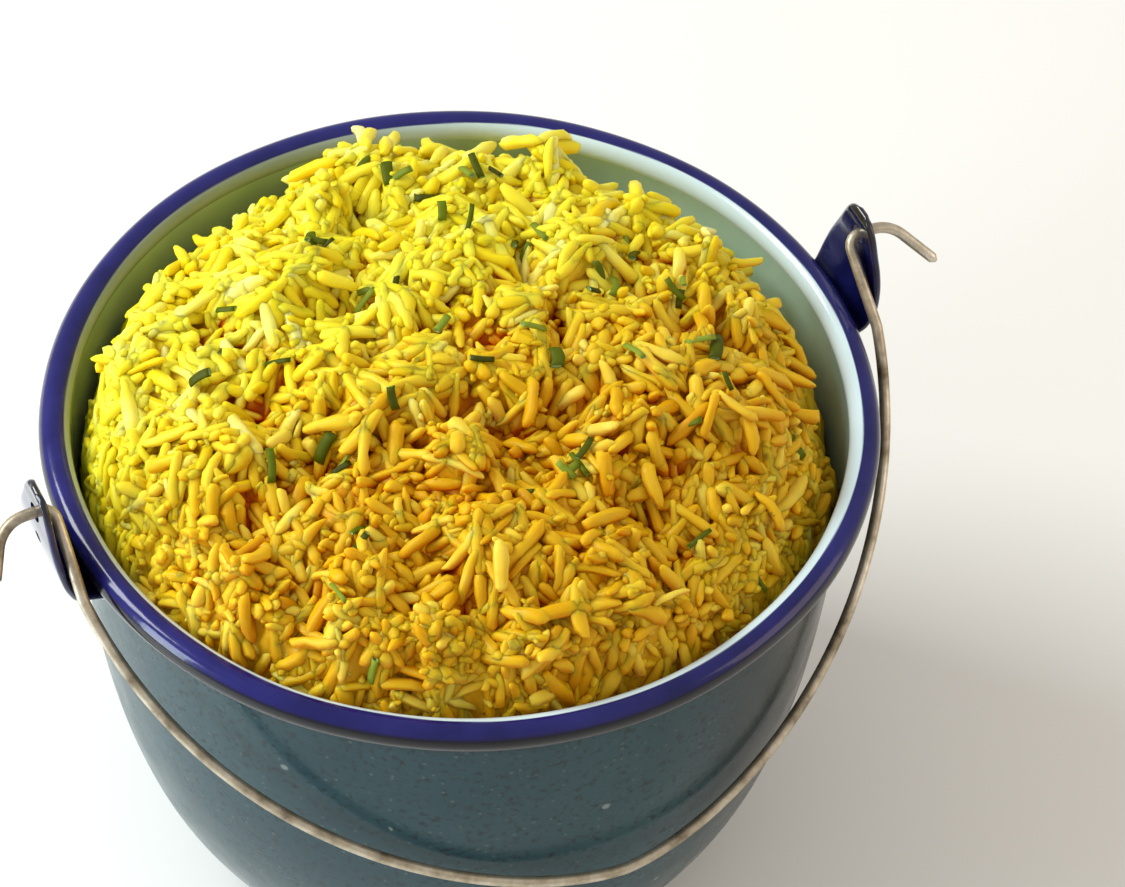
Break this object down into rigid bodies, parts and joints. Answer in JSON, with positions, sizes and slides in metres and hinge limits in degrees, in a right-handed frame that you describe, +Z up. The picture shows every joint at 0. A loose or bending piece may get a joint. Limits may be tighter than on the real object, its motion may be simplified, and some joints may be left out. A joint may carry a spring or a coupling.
{
  "type": "basmati rice in an enamelled pail",
  "caption": "Yellow basmati rice with chives, heaped in a round enamelled steel pail with a rolled blue rim, ears and a swinging wire bail.",
  "frame": {"origin": "centre of the pail's flat base, on the surface that it stands on", "axes": "+Z up, +X towards the right ear, -Y towards the front, where the bail hangs"},
  "size_m": [0.1977, 0.1598, 0.1346],
  "materials": {
    "speckled_enamel": "glossy",
    "cobalt_enamel": "glossy",
    "bare_wire": "dull",
    "yellow_rice": "moist"
  },
  "bodies": {
    "pail": {"pail": "speckled_enamel", "rim": "cobalt_enamel", "ear_left": "cobalt_enamel", "ear_right": "cobalt_enamel", "rice": "yellow_rice"},
    "bail": {"bail": "bare_wire"}
  },
  "joints": [
    {"name": "bail_swing", "type": "hinge", "parent": "pail", "child": "bail", "pos_m": [0, 0, 0.12392], "axis": [-1, 0, 0], "range_deg": [0, 261]}
  ]
}
